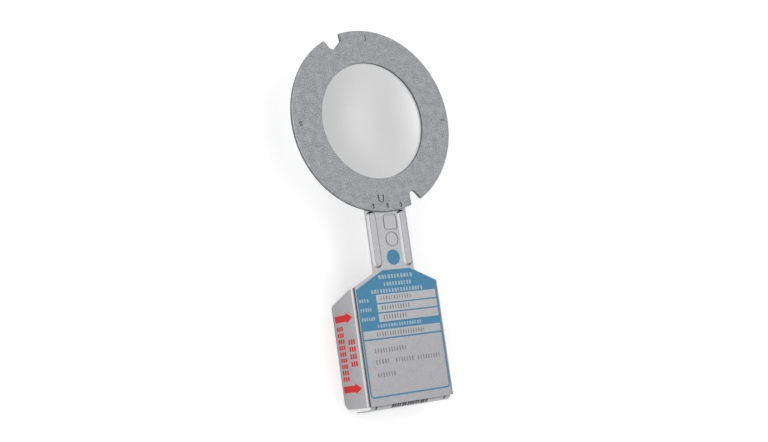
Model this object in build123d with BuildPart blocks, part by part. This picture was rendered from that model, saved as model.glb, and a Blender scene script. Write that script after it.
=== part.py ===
# Reverse-acting rupture disc with a folded identification tag.
# Axis of the bore is Z, flow leaves toward +Z, the tag hangs toward -Y.
# The origin is the centre of the outlet face. Units are millimetres.
from build123d import *
import os

os.makedirs("parts", exist_ok=True)

# ---- the stack of rings -------------------------------------------------
ring_od = 82.0            # outside diameter of the two rings
bore_d = 52.4             # clear bore of the outlet ring, 2 inch pipe size
outlet_t = 1.0            # outlet ring thickness
membrane_t = 0.25         # foil thickness
inlet_t = 0.60            # inlet ring thickness
rim_bevel = 0.35          # bevel on the outlet ring's outer edge
back_bevel = 0.20         # bevel on the inlet ring's outer edge
bore_break = 0.15         # broken edge at the bore
foil_margin = 0.3         # the foil stops this far inside the rim
inlet_bore_room = 1.4     # the inlet ring's bore is wider by this, all round
dome_root_in = 0.5        # the dome leaves the flange this far inside the bore
dome_h = 9.5              # dome height, toward the inlet
dome_root_fillet = 1.0    # bend between flange and dome

ring_r = ring_od / 2
bore_r = bore_d / 2
foil_r = ring_r - foil_margin
inlet_bore_r = bore_r + inlet_bore_room
dome_root_r = bore_r - dome_root_in
outlet_back = -outlet_t
membrane_back = outlet_back - membrane_t
inlet_back = membrane_back - inlet_t

# ---- the locating notches ------------------------------------------------
# corners as (outward from the rim, sideways), turned to the notch's angle
notch_a_turn = 113.0
notch_a = [(3.73, -5.95), (-3.56, -3.94), (-6.23, 2.84), (4.35, 5.74)]
notch_a_r = (1.3, 2.3)    # fillets of the two inner corners
notch_b_turn = -65.5
notch_b = [(3.89, -5.18), (-6.01, -1.11), (-4.72, 1.71), (5.1, 4.71)]
notch_b_r = (1.8, 1.8)
notch_step = 0.10         # the foil's notches are this much wider

# ---- small marks on the outlet face ---------------------------------------
weld_x = (-6.7, 0.8, 7.8)
weld_in = 2.6             # weld spots inside the rim's lowest point
weld_w, weld_l, weld_deep = 1.3, 2.2, 0.35
stake_r, stake_deep = 1.30, 0.65
stake_in, stake_turn = 4.0, 181.5   # inside the rim, round from +X
tick_in, tick_turns = 3.4, (87.5, -0.6)
tick_w, tick_l, tick_deep = 0.7, 2.6, 0.20
horseshoe_x, horseshoe_in = -2.0, 5.6
horseshoe_r, horseshoe_w, horseshoe_leg = 1.25, 0.6, 2.0
horseshoe_deep = 0.30

# ---- the tag --------------------------------------------------------------
sheet_t = 0.50            # tag sheet thickness
stem_w = 21.6             # width of the stem
tang_l = 6.4              # tang length inside the rim
tang_play = 0.20          # room round the tang in the foil and inlet ring
stem_l = 26.4             # from the rim to the shoulders
shoulder_drop = 6.2       # the shoulders fall this much to the folds
face_w = 46.4             # width over the two wings
side_bend_r = 2.5         # outside radius of the wing folds
wing_depth = 18.1         # wing depth from the tag's front face
wing_slant = 5.7          # the wing's top edge falls this much to its free edge
face_l = 56.6             # from the top of the shoulders to the wings' lower edge
wing_corner_r = 3.5       # lower corner of the wing's free edge
wing_tip_r = 1.0          # upper corner of the wing's free edge
flap_w = 41.4             # width of the bottom flap
flap_hang = 2.0           # the flap's outer face below the wings
flap_bend_r = 4.0         # outside radius of the flap's fold
flap_depth = 15.0         # flap depth from the tag's front face
flap_corner_r = 2.5       # free corners of the flap
neck_fillet = 1.6         # inside corner from stem to shoulder

# ---- the stamped ribs ------------------------------------------------------
rib_x = 8.0               # rib centre from the tag's centreline
rib_w = 4.8               # rib width at its foot
rib_h = 1.1               # rib height over the sheet
rib_slope = 38.0          # side slope of the rib
rib_rise = 0.5            # the ribs start this far above the rim's lowest point
rib_end_in = 2.0          # and stop this far short of the shoulders
rib_hollow_in = 0.72      # the hollow behind is this much narrower
rib_crown_r = 0.35        # rounding of the crown

# ---- the two stamped marks -------------------------------------------------
stamp_square, stamp_square_x, stamp_square_below = 7.2, 1.5, 4.6
stamp_round, stamp_round_x, stamp_round_below = 3.4, 1.2, 12.2
stamp_line, stamp_deep = 0.60, 0.22

# ---- places that follow from the sizes --------------------------------------
tag_front = outlet_back
tag_back = tag_front - sheet_t
tang_end_y = tang_l - ring_r
shoulder_y = -ring_r - stem_l
shoulder_edge_y = shoulder_y - shoulder_drop
wing_top_y = shoulder_edge_y - wing_slant
wing_bottom_y = shoulder_y - face_l
flap_y = wing_bottom_y - flap_hang
horseshoe_y = horseshoe_in - ring_r
rib_top_y = rib_rise - ring_r
rib_low_y = shoulder_y + rib_end_in
notches = ((notch_a, notch_a_turn, notch_a_r), (notch_b, notch_b_turn, notch_b_r))


# The outlet ring, the visible face of the stack.
with BuildPart() as outlet_ring:
    with BuildSketch(Plane.XY.offset(outlet_back)):
        Circle(ring_r)
        Circle(bore_r, mode=Mode.SUBTRACT)
    extrude(amount=outlet_t)
    top_edges = outlet_ring.edges().filter_by(GeomType.CIRCLE).group_by(Axis.Z)[-1]
    chamfer(top_edges.sort_by(SortBy.RADIUS)[-1], rim_bevel)
    fillet(top_edges.sort_by(SortBy.RADIUS)[0], bore_break)
    # the two locating notches, each its own shape
    for corners, turn, radii in notches:
        with BuildSketch(Plane.XY.rotated((0, 0, turn)).offset(outlet_back)) as notch:
            with Locations((ring_r, 0)):
                Polygon(*corners, align=None)
            for corner, radius in zip(corners[1:3], radii):
                at = (ring_r + corner[0], corner[1])
                fillet(notch.vertices().sort_by_distance(at)[0], radius)
        extrude(amount=outlet_t, mode=Mode.SUBTRACT)
    # spot-weld dimples over the tang
    with BuildSketch(Plane.XY) as welds:
        for wx in weld_x:
            with Locations(Location((wx, weld_in - ring_r), 90)):
                SlotOverall(weld_l, weld_w)
    extrude(amount=-weld_deep, mode=Mode.SUBTRACT)
    # one round stake, two short ticks and a horseshoe
    with Locations(Location((0, 0, stake_r - stake_deep), (0, 0, stake_turn))):
        with Locations((ring_r - stake_in, 0, 0)):
            Sphere(stake_r, mode=Mode.SUBTRACT)
    with BuildSketch(Plane.XY) as ticks:
        for turn in tick_turns:
            with PolarLocations(ring_r - tick_in, 1, start_angle=turn):
                SlotOverall(tick_l, tick_w)
    extrude(amount=-tick_deep, mode=Mode.SUBTRACT)
    with BuildSketch(Plane.XY) as horseshoe:
        with Locations((horseshoe_x, horseshoe_y)):
            Circle(horseshoe_r + horseshoe_w / 2)
            Circle(horseshoe_r - horseshoe_w / 2, mode=Mode.SUBTRACT)
        with Locations((horseshoe_x, horseshoe_y + horseshoe_r * 2)):
            Rectangle(6 * horseshoe_r, 4 * horseshoe_r, mode=Mode.SUBTRACT)
        for side in (-1, 1):
            with Locations((horseshoe_x + side * horseshoe_r, horseshoe_y)):
                Rectangle(horseshoe_w, horseshoe_leg, align=(Align.CENTER, Align.MIN))
    extrude(amount=-horseshoe_deep, mode=Mode.SUBTRACT)
outlet_ring.part.label = "outlet_ring"


# The rupture foil: a flat flange and a thin dome formed toward the inlet.
with BuildPart() as rupture_foil:
    crown_r = (dome_root_r ** 2 + dome_h ** 2) / (2 * dome_h)
    outer_crown_r = crown_r + membrane_t
    crown_z = outlet_back - dome_h + crown_r
    outer_root_r = (outer_crown_r ** 2 - (crown_z - membrane_back) ** 2) ** 0.5
    with BuildSketch(Plane.XZ) as section:
        with BuildLine():
            inner = ThreePointArc(
                (0, crown_z - crown_r),
                (crown_r * 0.342, crown_z - crown_r * 0.9397),
                (dome_root_r, outlet_back))
            rim = Polyline(
                (dome_root_r, outlet_back),
                (foil_r, outlet_back),
                (foil_r, membrane_back),
                (outer_root_r, membrane_back))
            outer = ThreePointArc(
                (outer_root_r, membrane_back),
                (outer_crown_r * 0.342, crown_z - outer_crown_r * 0.9397),
                (0, crown_z - outer_crown_r))
            Line((0, crown_z - outer_crown_r), (0, crown_z - crown_r))
        make_face()
    revolve(axis=Axis.Z)
    root_edges = rupture_foil.edges().filter_by(GeomType.CIRCLE)
    front_root = root_edges.sort_by(lambda e: (e.center() - Vector(0, 0, outlet_back)).length
                                    + abs(e.radius - dome_root_r))[0]
    back_root = root_edges.sort_by(lambda e: (e.center() - Vector(0, 0, membrane_back)).length
                                   + abs(e.radius - outer_root_r))[0]
    fillet(front_root, dome_root_fillet + membrane_t)
    fillet(back_root, dome_root_fillet)
    # the same notches, a little wider so only the rings locate
    for corners, turn, radii in notches:
        with BuildSketch(Plane.XY.rotated((0, 0, turn)).offset(membrane_back)):
            with Locations((ring_r, 0)):
                Polygon(*corners, align=None)
            offset(amount=notch_step, kind=Kind.ARC)
        extrude(amount=membrane_t, mode=Mode.SUBTRACT)
    # cut away for the tag's tang
    with BuildSketch(Plane.XY.offset(membrane_back)):
        with Locations((0, tang_end_y + tang_play)):
            Rectangle(stem_w + 2 * tang_play, ring_r, align=(Align.CENTER, Align.MAX))
    extrude(amount=membrane_t, mode=Mode.SUBTRACT)
rupture_foil.part.label = "rupture_foil"


# The inlet ring, with a shallow seat for the tang.
with BuildPart() as inlet_ring:
    with BuildSketch(Plane.XY.offset(inlet_back)):
        Circle(ring_r)
        Circle(inlet_bore_r, mode=Mode.SUBTRACT)
    extrude(amount=inlet_t)
    for corners, turn, radii in notches:
        with BuildSketch(Plane.XY.rotated((0, 0, turn)).offset(inlet_back)) as notch:
            with Locations((ring_r, 0)):
                Polygon(*corners, align=None)
            for corner, radius in zip(corners[1:3], radii):
                at = (ring_r + corner[0], corner[1])
                fillet(notch.vertices().sort_by_distance(at)[0], radius)
        extrude(amount=inlet_t, mode=Mode.SUBTRACT)
    with BuildSketch(Plane.XY.offset(membrane_back)):
        with Locations((0, tang_end_y + tang_play)):
            Rectangle(stem_w + 2 * tang_play, ring_r, align=(Align.CENTER, Align.MAX))
    extrude(amount=-(sheet_t - membrane_t), mode=Mode.SUBTRACT)
    back_rim = inlet_ring.edges().filter_by(GeomType.CIRCLE).group_by(Axis.Z)[0]
    chamfer(back_rim.filter_by(lambda e: abs(e.radius - ring_r) < 0.01), back_bevel)
inlet_ring.part.label = "inlet_ring"


# The tag: one sheet with a tang, a ribbed stem, two wings and a bottom flap.
with BuildPart() as tag:
    channel_l = shoulder_y - wing_bottom_y
    # the channel of face and wings, closed corner up
    with BuildSketch(Plane.XZ.offset(-shoulder_y)) as channel:
        with Locations((0, tag_front)):
            Rectangle(face_w, wing_depth, align=(Align.CENTER, Align.MAX))
        fillet(channel.vertices().group_by(Axis.Y)[-1], side_bend_r)
    extrude(amount=channel_l)
    with BuildSketch(Plane.XZ.offset(-shoulder_y)) as channel_in:
        with Locations((0, tag_back)):
            Rectangle(face_w - 2 * sheet_t, wing_depth, align=(Align.CENTER, Align.MAX))
        fillet(channel_in.vertices().group_by(Axis.Y)[-1], side_bend_r - sheet_t)
    extrude(amount=channel_l, mode=Mode.SUBTRACT)
    # the sloped shoulders
    with BuildSketch(Plane.XY.offset(tag_front)):
        for side in (-1, 1):
            Polygon(
                (side * stem_w / 2, shoulder_y),
                (side * face_w / 2, shoulder_edge_y),
                (side * face_w, shoulder_edge_y),
                (side * face_w, shoulder_y + 1),
                (side * stem_w / 2, shoulder_y + 1),
                align=None)
    extrude(amount=-wing_depth - 1, mode=Mode.SUBTRACT)
    # the wings' slanted top edge and their free corners
    wing_z = tag_front - wing_depth
    bend_z = tag_front - side_bend_r
    with BuildSketch(Plane.YZ) as wing_cut:
        Polygon(
            (shoulder_edge_y, bend_z),
            (wing_top_y, wing_z - 1),
            (shoulder_y + 5, wing_z - 1),
            (shoulder_y + 5, bend_z),
            align=None)
    extrude(amount=face_w, both=True, mode=Mode.SUBTRACT)
    low_corners = tag.edges().filter_by(Axis.X).group_by(Axis.Z)[0].group_by(Axis.Y)
    fillet(low_corners[0], wing_corner_r)
    fillet(low_corners[-1], wing_tip_r)
    # the flap, folded back along the lower edge
    with BuildSketch(Plane.YZ.offset(-flap_w / 2)) as flap:
        with Locations((flap_y, tag_front)):
            Rectangle(15, flap_depth, align=(Align.MIN, Align.MAX))
        fillet(flap.vertices().group_by(Axis.X)[0].group_by(Axis.Y)[-1], flap_bend_r)
    extrude(amount=flap_w)
    with BuildSketch(Plane.YZ.offset(-flap_w / 2)) as flap_in:
        with Locations((flap_y + sheet_t, tag_back)):
            Rectangle(16, flap_depth, align=(Align.MIN, Align.MAX))
        fillet(flap_in.vertices().group_by(Axis.X)[0].group_by(Axis.Y)[-1],
               flap_bend_r - sheet_t)
    extrude(amount=flap_w, mode=Mode.SUBTRACT)
    flap_tips = tag.edges().filter_by(Axis.Y).filter_by(
        lambda e: e.center().Y < flap_y + sheet_t and e.center().Z < bend_z)
    fillet(flap_tips, flap_corner_r)
    # stem and tang in one with the face
    with BuildSketch(Plane.XY.offset(tag_back)) as stem:
        with Locations((0, tang_end_y)):
            Rectangle(stem_w, tang_end_y - shoulder_y + 3, align=(Align.CENTER, Align.MAX))
        fillet(stem.vertices().group_by(Axis.Y)[-1], 1.5)
    extrude(amount=sheet_t)
    necks = tag.edges().filter_by(Axis.Z).filter_by(
        lambda e: abs(abs(e.center().X) - stem_w / 2) < 0.05
        and abs(e.center().Y - shoulder_y) < 0.3)
    fillet(necks, neck_fillet)
    # two stamped ribs, hollow behind
    rib_l = rib_top_y - rib_low_y
    rib_mid = (rib_top_y + rib_low_y) / 2
    with BuildSketch(Plane.XY.offset(tag_front)):
        with Locations(Location((-rib_x, rib_mid), 90), Location((rib_x, rib_mid), 90)):
            SlotOverall(rib_l, rib_w)
    extrude(amount=rib_h, taper=rib_slope)
    crowns = tag.faces().filter_by(Axis.Z).sort_by(Axis.Z)[-2:]
    fillet(crowns.edges(), rib_crown_r)
    with BuildSketch(Plane.XY.offset(tag_back)):
        with Locations(Location((-rib_x, rib_mid), 90), Location((rib_x, rib_mid), 90)):
            SlotOverall(rib_l - rib_hollow_in, rib_w - rib_hollow_in)
    extrude(amount=rib_h, taper=rib_slope, mode=Mode.SUBTRACT)
    # two plain stamped outlines, a square and a ring
    with BuildSketch(Plane.XY.offset(tag_front)):
        with Locations((stamp_square_x, -ring_r - stamp_square_below)):
            RectangleRounded(stamp_square, stamp_square, 1.6)
            RectangleRounded(stamp_square - 2 * stamp_line, stamp_square - 2 * stamp_line, 1.1,
                             mode=Mode.SUBTRACT)
        with Locations((stamp_round_x, -ring_r - stamp_round_below)):
            Circle(stamp_round)
            Circle(stamp_round - stamp_line, mode=Mode.SUBTRACT)
    extrude(amount=-stamp_deep, mode=Mode.SUBTRACT)
tag.part.label = "tag"

export_step(outlet_ring.part, "parts/outlet_ring.step")
export_step(rupture_foil.part, "parts/rupture_foil.step")
export_step(inlet_ring.part, "parts/inlet_ring.step")
export_step(tag.part, "parts/tag.step")
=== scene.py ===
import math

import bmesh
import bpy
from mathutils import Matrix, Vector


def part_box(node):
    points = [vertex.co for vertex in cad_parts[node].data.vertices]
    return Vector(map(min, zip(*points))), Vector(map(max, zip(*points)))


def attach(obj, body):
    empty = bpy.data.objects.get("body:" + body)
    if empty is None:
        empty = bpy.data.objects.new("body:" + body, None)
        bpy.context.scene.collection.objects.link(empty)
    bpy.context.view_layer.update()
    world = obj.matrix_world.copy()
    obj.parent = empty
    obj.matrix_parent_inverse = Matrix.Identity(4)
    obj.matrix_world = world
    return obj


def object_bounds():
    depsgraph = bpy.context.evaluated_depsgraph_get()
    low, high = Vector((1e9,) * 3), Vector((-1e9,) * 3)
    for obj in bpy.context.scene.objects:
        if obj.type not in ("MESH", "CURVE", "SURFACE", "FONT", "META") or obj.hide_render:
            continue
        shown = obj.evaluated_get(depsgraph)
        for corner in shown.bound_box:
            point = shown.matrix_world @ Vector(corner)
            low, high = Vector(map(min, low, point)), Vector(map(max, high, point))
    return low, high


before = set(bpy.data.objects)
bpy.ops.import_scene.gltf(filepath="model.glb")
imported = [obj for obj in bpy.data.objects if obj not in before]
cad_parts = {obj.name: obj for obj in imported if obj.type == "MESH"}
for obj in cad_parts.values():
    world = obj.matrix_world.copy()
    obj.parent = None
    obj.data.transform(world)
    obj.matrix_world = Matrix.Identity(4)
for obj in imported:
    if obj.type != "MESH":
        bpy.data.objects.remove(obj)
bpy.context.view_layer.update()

# %% [markdown]
# # A rupture disc and its tag
# A rupture disc is a safety device that works once. A thin domed foil sits between two flat rings in
# a pipe joint and bursts when the pressure gets too high. A folded sheet-metal tag sticks out of the
# joint and says what is inside. The rings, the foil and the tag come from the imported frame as
# solids. This script gives them their metals, prints the tag with thin layers of ink, and sets the
# light and the camera. Lengths on the part are written in millimetres and multiplied by MM.

MM = 0.001

# %% [markdown]
# ## Sizes that the print is laid out on
# Three surfaces of the tag carry ink: its front face, the outside of its left wing, and the large
# bend over the flap. All their places could be typed in. The outsides of the wing and the flap are
# read from the tag's own box instead, so that their ink follows them if the tag changes. The height
# of the front face and the radius of the bend can't be read from a box, so these two are typed in.

# %% Places read from the tag
tag_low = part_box("tag")[0]
WING_X = tag_low[0] / MM                 # outside of the left wing
FLAP_Y = tag_low[1] / MM                 # outside of the flap
FACE_Z = -1.0                            # front face of the sheet, behind the outlet ring
BEND_R = 4.0                             # outside radius of the flap's bend
INK = 0.02                               # thickness of one layer of ink
GAP = 0.005                              # room between a layer and what it is printed on
print("wing at x", round(WING_X, 2), "flap at y", round(FLAP_Y, 2), "mm")

# %% [markdown]
# ## Short words for nodes
# A material is a small network: numbers and colours flow along links from one node to the next.
# Each helper below adds one node, links what flows into it and returns the socket that flows out,
# so a material can be written like a sum.

# %% Numbers
def calculate(tree, operation, *values):
    node = tree.nodes.new("ShaderNodeMath")
    node.operation = operation
    for socket, value in zip(node.inputs, values):
        if isinstance(value, float):
            socket.default_value = value
        else:
            tree.links.new(value, socket)
    return node.outputs[0]


def remap(tree, value, low, high, least=0.0):
    node = tree.nodes.new("ShaderNodeMapRange")
    node.inputs["From Min"].default_value = low
    node.inputs["From Max"].default_value = high
    node.inputs["To Min"].default_value = least
    tree.links.new(value, node.inputs["Value"])
    return node.outputs["Result"]


def noise(tree, size_mm, detail=2.0):
    place = tree.nodes.new("ShaderNodeTexCoord")
    node = tree.nodes.new("ShaderNodeTexNoise")
    node.inputs["Scale"].default_value = 1 / (size_mm * MM)
    node.inputs["Detail"].default_value = detail
    tree.links.new(place.outputs["Object"], node.inputs["Vector"])
    return node.outputs["Fac"]

# %% Colours
COLOUR_A, COLOUR_B, COLOUR_OUT = 6, 7, 2     # where a Mix node keeps its colour sockets


def ramp(tree, value, stops):
    node = tree.nodes.new("ShaderNodeValToRGB")
    elements = node.color_ramp.elements
    while len(elements) < len(stops):
        elements.new(1.0)
    for element, (position, colour) in zip(elements, stops):
        element.position = position
        element.color = (*colour, 1)
    tree.links.new(value, node.inputs["Fac"])
    return node.outputs["Color"]


def darken(tree, colour, tone):
    node = tree.nodes.new("ShaderNodeMix")
    node.data_type = "RGBA"
    node.blend_type = "MULTIPLY"
    node.inputs["Factor"].default_value = 1.0
    tree.links.new(colour, node.inputs[COLOUR_A])
    tree.links.new(tone, node.inputs[COLOUR_B])
    return node.outputs[COLOUR_OUT]


def around(colour, contrast):
    return [c * (1 - contrast) for c in colour], [min(1, c * (1 + contrast)) for c in colour]

# %% [markdown]
# ## Grain
# Rolled steel plate is speckled: fine specks lie on broader patches. A painted texture could show
# that, but a Noise Texture on Object coordinates needs no file, stays on the surface when the part
# moves, and has a size in real millimetres. A shallow Bump lets the same specks catch the light.

# %% Specks and their relief
PATCH = 6                                # a broad patch is this many times as large as a speck
PATCH_SHARE = 0.3                        # how much the patches count beside the specks
SPECK_HEIGHT = 0.05                      # how far the relief rises


def specks(tree, colour, grain_mm, contrast):
    fine = noise(tree, grain_mm, detail=3.0)
    broad = noise(tree, PATCH * grain_mm)
    both = calculate(tree, "MULTIPLY_ADD", broad, PATCH_SHARE, fine)
    dark, light = around(colour, contrast)
    return fine, ramp(tree, both, [(0.46, dark), (0.84, light)])


def relief(tree, height, strength):
    node = tree.nodes.new("ShaderNodeBump")
    node.inputs["Strength"].default_value = strength
    node.inputs["Distance"].default_value = SPECK_HEIGHT * MM
    tree.links.new(height, node.inputs["Height"])
    return node.outputs["Normal"]

# %% [markdown]
# ## Painted shade in hollows, and darker punched edges
# Shade is painted into the colour where a surface is hemmed in: in dimples, in stamped lines, at the
# feet of the ribs and under the rim, in place of the shade that falls there. An Ambient Occlusion
# node with a reach of about a millimetre finds those places.
# A punched edge is torn as much as cut, so it is duller than the face of the plate. Its colour is
# also painted darker, which is partly painted shade on the walls that face sideways. Such an edge
# could be a second material on chosen faces. Here the normal finds it, because it lies flat where the
# normal of the plate's face points straight up.

# %% Tones for painted shade in hollows and on edges
FULL_SHADE_AT, NO_SHADE_AT = 0.35, 0.95                # how open a spot is to the sky, from full painted shade to none
EDGE, FACE = 0.35, 0.75                  # how far a normal points up, from a punched edge to a face


# Painted shade: the colour is darkened where Ambient Occlusion finds a hollow.
def painted_hollow_shade(tree, reach_mm, hollow_shade_amount):
    corner = tree.nodes.new("ShaderNodeAmbientOcclusion")
    corner.samples = 8
    corner.inputs["Distance"].default_value = reach_mm * MM
    return remap(tree, corner.outputs["AO"], FULL_SHADE_AT, NO_SHADE_AT, least=1 - hollow_shade_amount)


# Faces that don't point up are painted darker: partly the duller punched finish, partly painted
# shade.
def dull_and_shaded_edges(tree, tone):
    place = tree.nodes.new("ShaderNodeTexCoord")
    facing = tree.nodes.new("ShaderNodeSeparateXYZ")
    tree.links.new(place.outputs["Normal"], facing.inputs["Vector"])
    upright = calculate(tree, "ABSOLUTE", facing.outputs["Z"])
    return remap(tree, upright, EDGE, FACE, least=tone)

# %% [markdown]
# ## Metals
# A metal is a Principled BSDF with Metallic at 1. The rings, the foil and the tag are all stainless
# steel, and what tells them apart is their roughness and their grain: the rings are dull, speckled
# plate, the foil is smooth and matte, and the tag is rolled sheet that still mirrors a little.

# %% One function for all three
def grained_metal(name, colour, roughness, grain_mm, contrast, bump, hollow_shade_amount, reach_mm, edge_tone=1.0):
    material = bpy.data.materials.new(name)
    material.use_nodes = True
    tree = material.node_tree
    shader = tree.nodes["Principled BSDF"]
    shader.inputs["Metallic"].default_value = 1.0
    shader.inputs["Roughness"].default_value = roughness
    fine, unshaded = specks(tree, colour, grain_mm, contrast)
    # Painted shade goes into the hollows, then onto the edges that face sideways.
    hollow_shaded = darken(tree, unshaded, painted_hollow_shade(tree, reach_mm, hollow_shade_amount))
    edged = darken(tree, hollow_shaded, dull_and_shaded_edges(tree, edge_tone))
    tree.links.new(edged, shader.inputs["Base Color"])
    tree.links.new(relief(tree, fine, bump), shader.inputs["Normal"])
    return material

# %% The three metals
# Each metal's AO amount paints shade into its hollows; the ring's edge tone paints its edges darker.
ring_steel = grained_metal("ring_steel", (0.345, 0.35, 0.36), roughness=0.48, grain_mm=0.50,
                           contrast=0.36, bump=0.70, hollow_shade_amount=0.80, reach_mm=0.9, edge_tone=0.55)
foil_metal = grained_metal("foil_metal", (0.79, 0.79, 0.79), roughness=0.62, grain_mm=1.2,
                           contrast=0.01, bump=0.0, hollow_shade_amount=0.30, reach_mm=0.9)
tag_metal = grained_metal("tag_metal", (0.37, 0.37, 0.378), roughness=0.19, grain_mm=0.40,
                          contrast=0.08, bump=0.06, hollow_shade_amount=0.65, reach_mm=1.1)
print("metals:", ring_steel.name, foil_metal.name, tag_metal.name)

# %% Each node of the frame gets its metal
METALS = {"outlet_ring": ring_steel, "inlet_ring": ring_steel,
          "rupture_foil": foil_metal, "tag": tag_metal}
for name, material in METALS.items():
    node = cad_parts[name]
    node.data.materials.clear()
    node.data.materials.append(material)
    print(name, "->", material.name)

# %% [markdown]
# ## Inks
# Printed ink isn't a metal. It is a plain colour with a satin roughness, a little mottled where the
# sheet's grain shows through. The red on the wing is less glossy than the rest, so that the white
# floor it faces doesn't turn it pink.

# %% Ink materials
MOTTLE = 10 / 9                          # size of the ink's mottling


def ink(name, colour, gloss=0.5):
    material = bpy.data.materials.new(name)
    material.use_nodes = True
    tree = material.node_tree
    shader = tree.nodes["Principled BSDF"]
    shader.inputs["Roughness"].default_value = 0.45
    shader.inputs["Specular IOR Level"].default_value = gloss
    dark, light = around(colour, 0.06)
    mottled = ramp(tree, noise(tree, MOTTLE), [(0.3, dark), (0.7, light)])
    tree.links.new(mottled, shader.inputs["Base Color"])
    return material


INKS = {
    "blue_ink": ink("blue_ink", (0.040, 0.215, 0.370)),
    "red_ink": ink("red_ink", (0.58, 0.008, 0.012), gloss=0.2),
    "grey_ink": ink("grey_ink", (0.17, 0.17, 0.18)),
    "black_ink": ink("black_ink", (0.02, 0.02, 0.022)),
    "pale_ink": ink("pale_ink", (0.34, 0.44, 0.50)),
}
print("inks:", sorted(INKS))

# %% [markdown]
# ## From a flat drawing to a layer of ink
# Print could be an image on the sheet. As geometry it stays sharp at any distance and needs no file.
# Every print is drawn flat with bmesh operators, given a thin edge by extruding its faces, and then
# laid on the tag by a placing function that moves each corner to its place. Such a function may also
# bend the drawing, which is how the marks over the flap follow the curve of the sheet.

# %% Where each kind of drawing goes
def on_face(x, y, h):
    return x, y, FACE_Z + GAP + h


def over_blue(x, y, h):
    return x, y, FACE_Z + 2 * GAP + INK + h


def on_wing(along, back, h):
    return WING_X - GAP - h, along, back


def on_bend(x, arc, h):
    turn = arc / BEND_R
    reach = BEND_R + GAP + h
    return x, FLAP_Y + BEND_R - reach * math.sin(turn), FACE_Z - BEND_R + reach * math.cos(turn)

# %% Laying a drawing on the tag
def lay(bm, name, slot, place):
    drawn = bmesh.ops.extrude_face_region(bm, geom=bm.faces[:])
    lifted = [g for g in drawn["geom"] if isinstance(g, bmesh.types.BMVert)]
    bmesh.ops.translate(bm, verts=lifted, vec=(0, 0, INK))
    for v in bm.verts:
        v.co = Vector(place(*v.co)) * MM
    bmesh.ops.recalc_face_normals(bm, faces=bm.faces[:])
    mesh = bpy.data.meshes.new(name)
    bm.to_mesh(mesh)
    bm.free()
    mesh.materials.append(INKS[slot])
    piece = bpy.data.objects.new(name, mesh)
    bpy.context.scene.collection.objects.link(piece)
    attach(piece, "root")
    print(name, len(mesh.polygons), "faces")

# %% The block that most of the print is made of
def block(bm, x0, x1, y0, y1, cuts=1):
    middle = Matrix.Translation(((x0 + x1) / 2, (y0 + y1) / 2, 0))
    size = Matrix.Diagonal(((x1 - x0) / 2, (y1 - y0) / 2, 1, 1))
    bmesh.ops.create_grid(bm, x_segments=1, y_segments=cuts, size=1, matrix=middle @ size)

# %% [markdown]
# ## The blue field
# The real tag is printed blue round its data boxes, and a thin blue border runs down round the bare
# lower half. Strips and blocks laid side by side would leave seams. One grid has none: its lines are
# moved to the edges of the boxes, and the cells that stay bare metal are deleted. Two slanted cuts
# then trim the top to the tag's shoulders.

# %% A grid whose lines are the edges of the boxes
COLUMNS = [-20.9, -20.2, -18.9, -11.2, 19.1, 20.4, 21.1]
ROWS = [-120.7, -120.0, -118.7, -96.2, -95.5, -92.0, -88.7, -85.1, -84.5, -81.1, -80.5, -76.9, -66.5]
field = bmesh.new()
bmesh.ops.create_grid(field, x_segments=len(COLUMNS) - 1, y_segments=len(ROWS) - 1, size=1)
for v in field.verts:
    column = round((v.co.x + 1) / 2 * (len(COLUMNS) - 1))
    row = round((v.co.y + 1) / 2 * (len(ROWS) - 1))
    v.co = (COLUMNS[column], ROWS[row], 0)
print("grid of", len(field.faces), "cells")

# %% The cells that stay bare
BARE = [(-20.2, 20.4, -118.7, -96.2), (-18.9, 19.1, -120.0, -96.2),        # the open lower half
        (-20.2, 20.4, -95.5, -92.0),                                       # the wide data box
        (-11.2, 20.4, -88.7, -85.1), (-11.2, 20.4, -84.5, -81.1), (-11.2, 20.4, -80.5, -76.9),
        (-20.9, -18.9, -120.7, -118.7), (19.1, 21.1, -120.7, -118.7)]      # the border's corners


def is_bare(face):
    c = face.calc_center_median()
    return any(x0 < c.x < x1 and y0 < c.y < y1 for x0, x1, y0, y1 in BARE)


bmesh.ops.delete(field, geom=[f for f in field.faces if is_bare(f)], context="FACES")
print(len(field.faces), "cells are blue")

# %% The slanted shoulders
SHOULDER = Vector((6.2, 12.4, 0)).normalized()          # square to the right shoulder
for side, through in ((-1, Vector((-8.2, -67.6, 0))), (1, Vector((11.7, -68.2, 0)))):
    outward = Vector((side * SHOULDER.x, SHOULDER.y, 0))
    bmesh.ops.bisect_plane(field, geom=field.verts[:] + field.edges[:] + field.faces[:], dist=1e-5,
                           plane_co=through, plane_no=outward, clear_outer=True)
print(len(field.faces), "faces after both cuts")

# %% The border's two lower corners are quarter rings, spun from one short edge
BORDER_R = (1.3, 2.0)                    # inside and outside radius
for side, x in ((-1, COLUMNS[2]), (1, COLUMNS[4])):
    middle = Vector((x, ROWS[2], 0))
    ends = [field.verts.new(middle + Vector((side * r, 0, 0))) for r in BORDER_R]
    edge = field.edges.new(ends)
    bmesh.ops.spin(field, geom=ends + [edge], cent=middle, axis=(0, 0, 1), steps=8,
                   angle=math.radians(-90 * side))
lay(field, "print_field", "blue_ink", on_face)

# %% [markdown]
# ## Rows of blocks in place of words
# Words aren't drawn on this tag. Where they would be, a row of plain blocks holds their place and
# their tone. One long bar would be too heavy and equal blocks would look like a dashed line, so the
# blocks take their widths from a short list that repeats.

# %% A row of blocks
WIDTHS = [0.82, 0.66, 0.74, 0.55, 0.86, 0.62, 0.78]


def block_row(bm, x0, x1, y, tall, pitch, cover):
    count = round((x1 - x0) / pitch)
    step = (x1 - x0) / count
    for i in range(count):
        wide = step * WIDTHS[(i * 3 + count) % len(WIDTHS)] * cover
        start = x0 + i * step
        block(bm, start, start + wide, y - tall / 2, y + tall / 2)


def block_rows(name, slot, place, cover, rows):
    bm = bmesh.new()
    for x0, x1, y, tall, pitch in rows:
        block_row(bm, x0, x1, y, tall, pitch, cover)
    lay(bm, name, slot, place)

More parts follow.
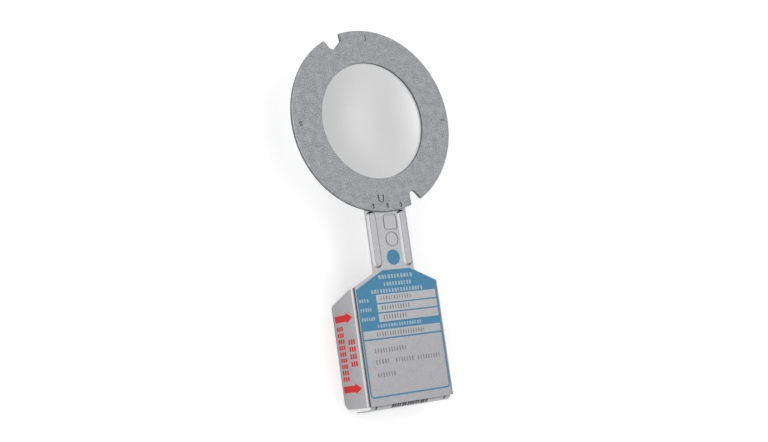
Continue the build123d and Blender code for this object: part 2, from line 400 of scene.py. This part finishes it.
# %% Pale rows on the blue, each with its two ends, height on the tag, block height and pitch
block_rows("print_pale_rows", "pale_ink", over_blue, cover=0.8, rows=[
    (-8.6, 9.6, -69.4, 1.7, 1.6), (-6.3, 8.6, -72.6, 1.7, 1.5), (-13.3, 14.2, -75.5, 1.7, 1.55),
    (-20.0, -14.9, -79.0, 1.5, 1.3), (-20.0, -13.8, -83.0, 1.5, 1.3), (-20.0, -12.8, -87.0, 1.5, 1.3),
    (-12.3, 11.0, -90.4, 1.4, 1.35)])

# %% Thin grey rows on the bare metal, as a typewriter leaves them
block_rows("print_typed_rows", "grey_ink", on_face, cover=0.42, rows=[
    (-8.8, 7.8, -78.6, 1.9, 1.35), (-8.9, 6.4, -82.7, 1.9, 1.35), (-8.6, 4.2, -86.8, 1.9, 1.35),
    (-13.3, 12.4, -93.9, 1.8, 1.35), (-15.4, 1.4, -100.8, 1.9, 1.4), (-15.6, -8.0, -105.6, 1.9, 1.4),
    (-5.4, 4.4, -105.7, 1.9, 1.4), (6.2, 18.6, -105.8, 1.9, 1.4), (-15.6, -5.9, -111.2, 1.9, 1.4)])

# %% A plain dot on the stem
dot = bmesh.new()
bmesh.ops.create_circle(dot, cap_ends=True, segments=48, radius=3.4,
                        matrix=Matrix.Translation((0.7, -61.2, 0)))
lay(dot, "print_dot", "blue_ink", on_face)

# %% [markdown]
# ## The flow arrows on the wing
# A disc that is fitted the wrong way round bursts at the wrong pressure, so the wing shows which way
# the gas flows. An arrow is a block and a circle with only three sides, which saves drawing its head
# corner by corner. Such a circle reaches 1 up, half as far down and the cosine of 30 degrees to each
# side. Both arrows point from the wing's free edge to the front face.

# %% An arrow
def arrow(bm, along, tail, neck, tip, half_shaft, half_head):
    block(bm, along - half_shaft, along + half_shaft, tail, neck)
    long = tip - neck
    size = Matrix.Diagonal((half_head / math.cos(math.radians(30)), long / 1.5, 1, 1))
    place = Matrix.Translation((along, neck + long / 3, 0)) @ size
    bmesh.ops.create_circle(bm, cap_ends=True, segments=3, radius=1, matrix=place)

# %% A red line is a run of cells, each of three short blocks
CELL_START, CELL_END = 0.12, 0.80        # the printed stretch of a cell
BLOCK_INSET = 0.16                       # the bare share at each end of a block


def red_line(bm, first, last, count, back, front):
    step = (last - first) / count
    third = (front - back) / 3
    inset = BLOCK_INSET * third
    for i in range(count):
        near, far = first + (i + CELL_START) * step, first + (i + CELL_END) * step
        for k in range(3):
            block(bm, far, near, back + k * third + inset, back + (k + 1) * third - inset)

# %% The wing's print
wing = bmesh.new()
arrow(wing, along=-85.0, tail=-17.5, neck=-8.3, tip=-3.3, half_shaft=1.45, half_head=2.35)
arrow(wing, along=-115.4, tail=-18.0, neck=-8.3, tip=-3.3, half_shaft=1.45, half_head=2.35)
red_line(wing, first=-88.0, last=-112.4, count=9, back=-17.4, front=-11.9)
red_line(wing, first=-94.0, last=-106.6, count=4, back=-9.3, front=-3.6)
lay(wing, "print_arrows", "red_ink", on_wing)

# %% [markdown]
# ## Marks on the bend over the flap
# The last line of print runs over the large bend. Each mark is cut into eight strips along the
# curve, so that it can follow it. One flat block would cut through the sheet.

# %% Small marks on the bend
MARK_COUNT, FIRST_MARK, MARK_PITCH = 14, -10.2, 1.36
STRIPS = 8                               # flat strips along one mark
bend = bmesh.new()
for i in range(MARK_COUNT):
    start = FIRST_MARK + i * MARK_PITCH
    block(bend, start, start + MARK_PITCH * WIDTHS[i % len(WIDTHS)], 1.5, 4.2, cuts=STRIPS)
# Two narrow black blocks near the ends of the bend darken two small spots there.
for x in (-18.2, 17.6):
    block(bend, x - 0.4, x + 0.4, 1.8, 4.0, cuts=STRIPS)
lay(bend, "bend_print_and_dark_ticks", "black_ink", on_bend)

# %% [markdown]
# ## Floor
# The floor lies just under the lowest point of the part. A little emission brings it up to plain
# white wherever a straight look or a mirrored one meets it, and it still takes the part's shadow.
# More lamp light would whiten it too, but would wash out the metals as well.

# %% Floor
FLOOR_GAP = 0.2                          # room between the part and the floor
FLOOR_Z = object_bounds()[0].z - FLOOR_GAP * MM
ground = bmesh.new()
bmesh.ops.create_grid(ground, x_segments=1, y_segments=1, size=3.0,
                      matrix=Matrix.Translation((0, 0, FLOOR_Z)))
floor_mesh = bpy.data.meshes.new("floor")
ground.to_mesh(floor_mesh)
ground.free()
floor = bpy.data.objects.new("floor", floor_mesh)
bpy.context.scene.collection.objects.link(floor)
print("floor at z", round(FLOOR_Z / MM, 2), "mm")

# %% Paper for the floor
FLOOR_TONE = 0.78                        # its own colour
FLOOR_LIFT = 0.42                        # the emission that brings it up to white
paper = bpy.data.materials.new("paper")
paper.use_nodes = True
tree = paper.node_tree
shader = tree.nodes["Principled BSDF"]
shader.inputs["Base Color"].default_value = (FLOOR_TONE, FLOOR_TONE, FLOOR_TONE, 1)
shader.inputs["Roughness"].default_value = 1.0
shader.inputs["Specular IOR Level"].default_value = 0.0
shader.inputs["Emission Color"].default_value = (1, 1, 1, 1)
path = tree.nodes.new("ShaderNodeLightPath")
mirrored = calculate(tree, "MAXIMUM", path.outputs["Is Glossy Ray"],
                     path.outputs["Is Transmission Ray"])
seen = calculate(tree, "MAXIMUM", path.outputs["Is Camera Ray"], mirrored)
lifted = calculate(tree, "MULTIPLY", seen, FLOOR_LIFT)
tree.links.new(lifted, shader.inputs["Emission Strength"])
floor_mesh.materials.append(paper)

# %% [markdown]
# ## Sky
# Bent metal shows its shape by what it mirrors, so an even sky would make it look flat. This sky has
# light and dark bands that run along the Y axis, and a band's place is its angle round that axis: 0
# is the right-hand horizon, 0.5 is overhead and 1 is the left-hand horizon. Low on the right the sky
# is dark grey, and above that it is light. A dark band just past overhead parts this from a white
# panel on the left. Each fold and rib picks up all of them in turn. Just over the floor the sky is
# plain white all round, as a sweep of paper is. Large lamps could stand in for the bands, but each
# of them would throw a shadow.

# %% The bands, as pairs of angle and level
SKY = [(0.00, 0.05), (0.09, 0.16), (0.18, 0.44), (0.30, 0.56), (0.40, 0.60), (0.46, 0.44),
       (0.51, 0.10), (0.61, 0.10), (0.70, 0.55), (0.80, 1.00), (0.96, 1.00), (1.00, 0.60)]
SKY_STRENGTH = 2.0
SKY_BLUE = 1.01                          # its blue, beside a red and a green of 1
SWEEP_TOP = (0.17, 0.24)                 # sine of the height over which the white sweep fades out

# %% World
world = bpy.data.worlds.new("sky")
bpy.context.scene.world = world
world.use_nodes = True
tree = world.node_tree
place = tree.nodes.new("ShaderNodeTexCoord")
split = tree.nodes.new("ShaderNodeSeparateXYZ")
tree.links.new(place.outputs["Generated"], split.inputs["Vector"])
angle = calculate(tree, "ARCTAN2", split.outputs["Z"], split.outputs["X"])
turn = calculate(tree, "DIVIDE", angle, math.pi)
bands = ramp(tree, turn, [(position, (level, level, level * SKY_BLUE)) for position, level in SKY])
sweep = tree.nodes.new("ShaderNodeMix")
sweep.data_type = "RGBA"
sweep.inputs[COLOUR_A].default_value = (1 / SKY_STRENGTH, 1 / SKY_STRENGTH, 1 / SKY_STRENGTH, 1)
tree.links.new(remap(tree, split.outputs["Z"], *SWEEP_TOP), sweep.inputs["Factor"])
tree.links.new(bands, sweep.inputs[COLOUR_B])
background = tree.nodes["Background"]
background.inputs["Strength"].default_value = SKY_STRENGTH
tree.links.new(sweep.outputs[COLOUR_OUT], background.inputs["Color"])
print("sky of", len(SKY), "stops, strength", SKY_STRENGTH)

# %% [markdown]
# ## Key light
# The sky does nearly all the work. One large, weak lamp from the right gives the shadow a direction.
# It is square and 0.3 m wide, because a small lamp would be mirrored as a hot spot in the dome.

# %% A soft key light
KEY_AT, KEY_AIM = Vector((0.26, 0.06, 0.56)), Vector((-0.01, -0.03, 0))
key_data = bpy.data.lights.new("key", "AREA")
key_data.shape = "SQUARE"
key_data.size = 0.30
key_data.energy = 0.08
key = bpy.data.objects.new("key", key_data)
key.location = KEY_AT
key.rotation_euler = (KEY_AIM - KEY_AT).to_track_quat("-Z", "Y").to_euler()
bpy.context.scene.collection.objects.link(key)
print("key light", round(key_data.energy, 3), "W")

# %% [markdown]
# ## The camera
# The camera looks down on the part from its lower left and is rolled so that the tag hangs nearly
# straight down in the frame. It could be turned by hand, but its place, the point it aims at and its
# roll say the same thing in three values that are easy to read.

# %% Camera
CAMERA_AT = Vector((-314.7, -108.8, 464.6)) * MM
CAMERA_AIM = Vector((-1.34, -45.0, -1.2)) * MM
CAMERA_ROLL = math.radians(72.3)
camera_data = bpy.data.cameras.new("camera")
camera_data.lens = 60.44
camera_data.sensor_width = 36.0
camera_data.clip_start = 0.01
camera_data.clip_end = 20.0
camera = bpy.data.objects.new("camera", camera_data)
bpy.context.scene.collection.objects.link(camera)
looking = (CAMERA_AIM - CAMERA_AT).to_track_quat("-Z", "Y").to_matrix().to_4x4()
camera.matrix_world = Matrix.Translation(CAMERA_AT) @ looking @ Matrix.Rotation(CAMERA_ROLL, 4, "Z")
bpy.context.scene.camera = camera
bpy.context.scene.view_settings.view_transform = "Standard"
print("camera", round((CAMERA_AT - CAMERA_AIM).length, 3), "m from its aim")
